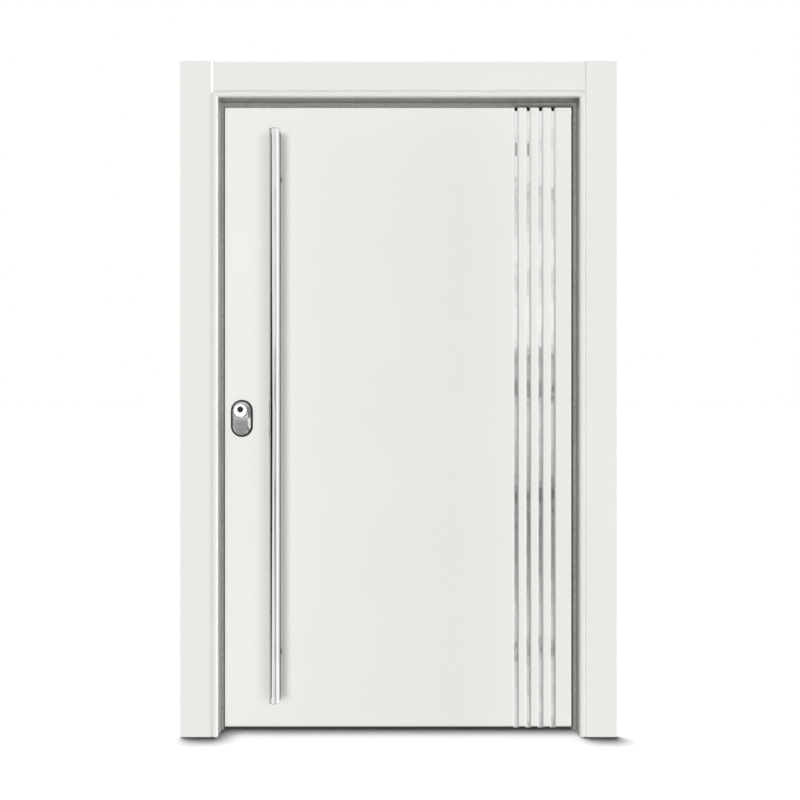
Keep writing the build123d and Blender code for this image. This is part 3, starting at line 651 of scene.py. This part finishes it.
def mirrored_room(nodes):
    """The level that a mirror ray meets, by its turn from the front and its rise, and its height."""
    source = nodes.node("ShaderNodeTexCoord")
    split = nodes.node("ShaderNodeSeparateXYZ")
    nodes.link(source.outputs["Generated"], split.inputs["Vector"])
    x, y, z = (split.outputs[axis] for axis in "XYZ")
    turn = nodes.math("DEGREES", nodes.math("ARCTAN2", x, nodes.math("MULTIPLY", y, -1.0)))
    reach = nodes.math("SQRT", nodes.math("ADD", nodes.math("POWER", x, 2.0), nodes.math("POWER", y, 2.0)))
    rise = nodes.math("DIVIDE", z, nodes.math("MAXIMUM", reach, 0.001))
    level = nodes.math("SUBTRACT", 1.0, slatted_screen(nodes, turn, rise))
    for side, zone, shade in (
        (turn, LEFT_ZONE, LEFT_SHADE),
        (turn, WING_ZONE, WING_SHADE),
        (turn, DARK_ZONE, DARK_SHADE),
        (turn, SPILL_ZONE, SPILL_SHADE),
        (nodes.math("ABSOLUTE", turn), BACK_ZONE, BACK_SHADE),
    ):
        dark = nodes.math("MULTIPLY", nodes.steps(side, zone), nodes.steps(rise, shade))
        level = nodes.math("MULTIPLY", level, nodes.math("SUBTRACT", 1.0, dark))
    return level, z


def make_world():
    world = bpy.data.worlds.new("studio")
    world.use_nodes = True
    bpy.context.scene.world = world
    nodes = Nodes(world.node_tree)
    background = world.node_tree.nodes["Background"]
    background.inputs["Color"].default_value = (1, 1, 1, 1)
    mirrored, height = mirrored_room(nodes)
    lighting = nodes.span(nodes.math("LESS_THAN", height, 0.0), SKY_LEVEL, GROUND_LEVEL, 0.0, 1.0)
    seen = nodes.seen()
    plain = nodes.math("ADD", seen, nodes.math("MULTIPLY", nodes.math("SUBTRACT", 1.0, seen), lighting))
    glossy = nodes.node("ShaderNodeLightPath").outputs["Is Glossy Ray"]
    room = nodes.math("MULTIPLY", glossy, nodes.math("SUBTRACT", mirrored, plain))
    nodes.link(nodes.math("ADD", plain, room), background.inputs["Strength"])


def make_floor():
    """The floor shows and takes shadows; the world's lower half stands in for its bounce."""
    bpy.ops.mesh.primitive_plane_add(size=FLOOR_SIZE, location=(0, 0, -FLOOR_DROP))
    floor = bpy.context.object
    floor.name = "studio_floor"
    material = bpy.data.materials.new("studio_floor")
    material.use_nodes = True
    shader = material.node_tree.nodes["Principled BSDF"]
    shader.inputs["Base Color"].default_value = (FLOOR_TONE, FLOOR_TONE, FLOOR_TONE, 1.0)
    shader.inputs["Roughness"].default_value = 0.9
    shader.inputs["Specular IOR Level"].default_value = 0.0
    floor.data.materials.append(material)
    floor.visible_glossy = False
    floor.visible_diffuse = False
    floor.visible_shadow = False
    return floor


def card(name, corners, level):
    """A small studio card that only mirror rays see."""
    mesh = bpy.data.meshes.new(name)
    mesh.from_pydata(corners, [], [tuple(range(len(corners)))])
    made = bpy.data.objects.new(name, mesh)
    bpy.context.collection.objects.link(made)
    material = bpy.data.materials.new(name)
    material.use_nodes = True
    nodes = Nodes(material.node_tree)
    material.node_tree.nodes.clear()
    glow = nodes.node("ShaderNodeEmission")
    glow.inputs["Color"].default_value = (level, level, level, 1.0)
    out = nodes.node("ShaderNodeOutputMaterial")
    nodes.link(glow.outputs["Emission"], out.inputs["Surface"])
    mesh.materials.append(material)
    made.visible_camera = False
    made.visible_diffuse = False
    made.visible_shadow = False
    made.visible_transmission = False
    made.visible_volume_scatter = False


def across_y(y, *points):
    """Corners in a plane across Y."""
    return [(x, y, z) for x, z in points]


def sheet(y, left, right, foot, head):
    """Corners of an upright rectangle in a plane across Y."""
    return across_y(y, (left, foot), (right, foot), (right, head), (left, head))


def make_lock_cards():
    """A dull card before the lock cover, and bright ones before its guard and at its side."""
    y, left = -0.13, -0.66
    card("cover_card", sheet(y, left, -0.505, 0.9, 1.053), 0.37)
    card("guard_card", sheet(y, left, -0.5, 1.054, 1.13), 1.05)
    foot, head = 1.004, 1.054
    highlight = across_y(-0.075, (-0.492, foot), (-0.4835, foot), (-0.476, head), (-0.512, head))
    card("cover_highlight", highlight, 1.05)


def make_bar_cards():
    """Dark cards for the lines down both limbs of the round bar, and a pale one for its front."""
    low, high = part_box("pull_bar")
    foot, head = low[2], high[2]
    middle = (foot + head) / 2
    x = low[0] - 0.047
    front, back = -0.164, -0.136
    widest_front, widest_back = -0.195, -0.12
    left = [(x, front, foot), (x, back, foot), (x, widest_back, middle)]
    left += [(x, back, head), (x, front, head), (x, widest_front, middle)]
    card("bar_left_card", left, 0.01)
    x = high[0] + 0.025
    front, back = -0.098, -0.04
    right = [(x, front, foot), (x, back, foot), (x, back, head), (x, front, head)]
    card("bar_right_card", right, 0.06)
    x = (low[0] + high[0]) / 2
    y, left, right = -0.34, x - 0.055, x + 0.005
    card("bar_front_card", across_y(y, (left, foot), (left, head), (right, head), (right, foot)), 0.82)


def make_strip_flags():
    """Small flags that put a dark fleck near the top of two strips."""
    for name in STRIPS[:2]:
        low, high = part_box(name)
        middle = (low[0] + high[0]) / 2
        card(name + "_flag", sheet(-0.095, middle - 0.006, middle + 0.017, 1.958, 2.002), 0.35)


make_camera()
make_lamps(make_floor())
make_world()
make_lock_cards()
make_bar_cards()
make_strip_flags()
dress_frame_body()
dress_leaf_body()
make_screws()
make_anchor_caps()
make_strip_shade_stops()
make_brush_seal()
make_pivot_gap_shade_lip()
make_drop_seal_fin()

bpy.context.scene.view_settings.view_transform = "Standard"
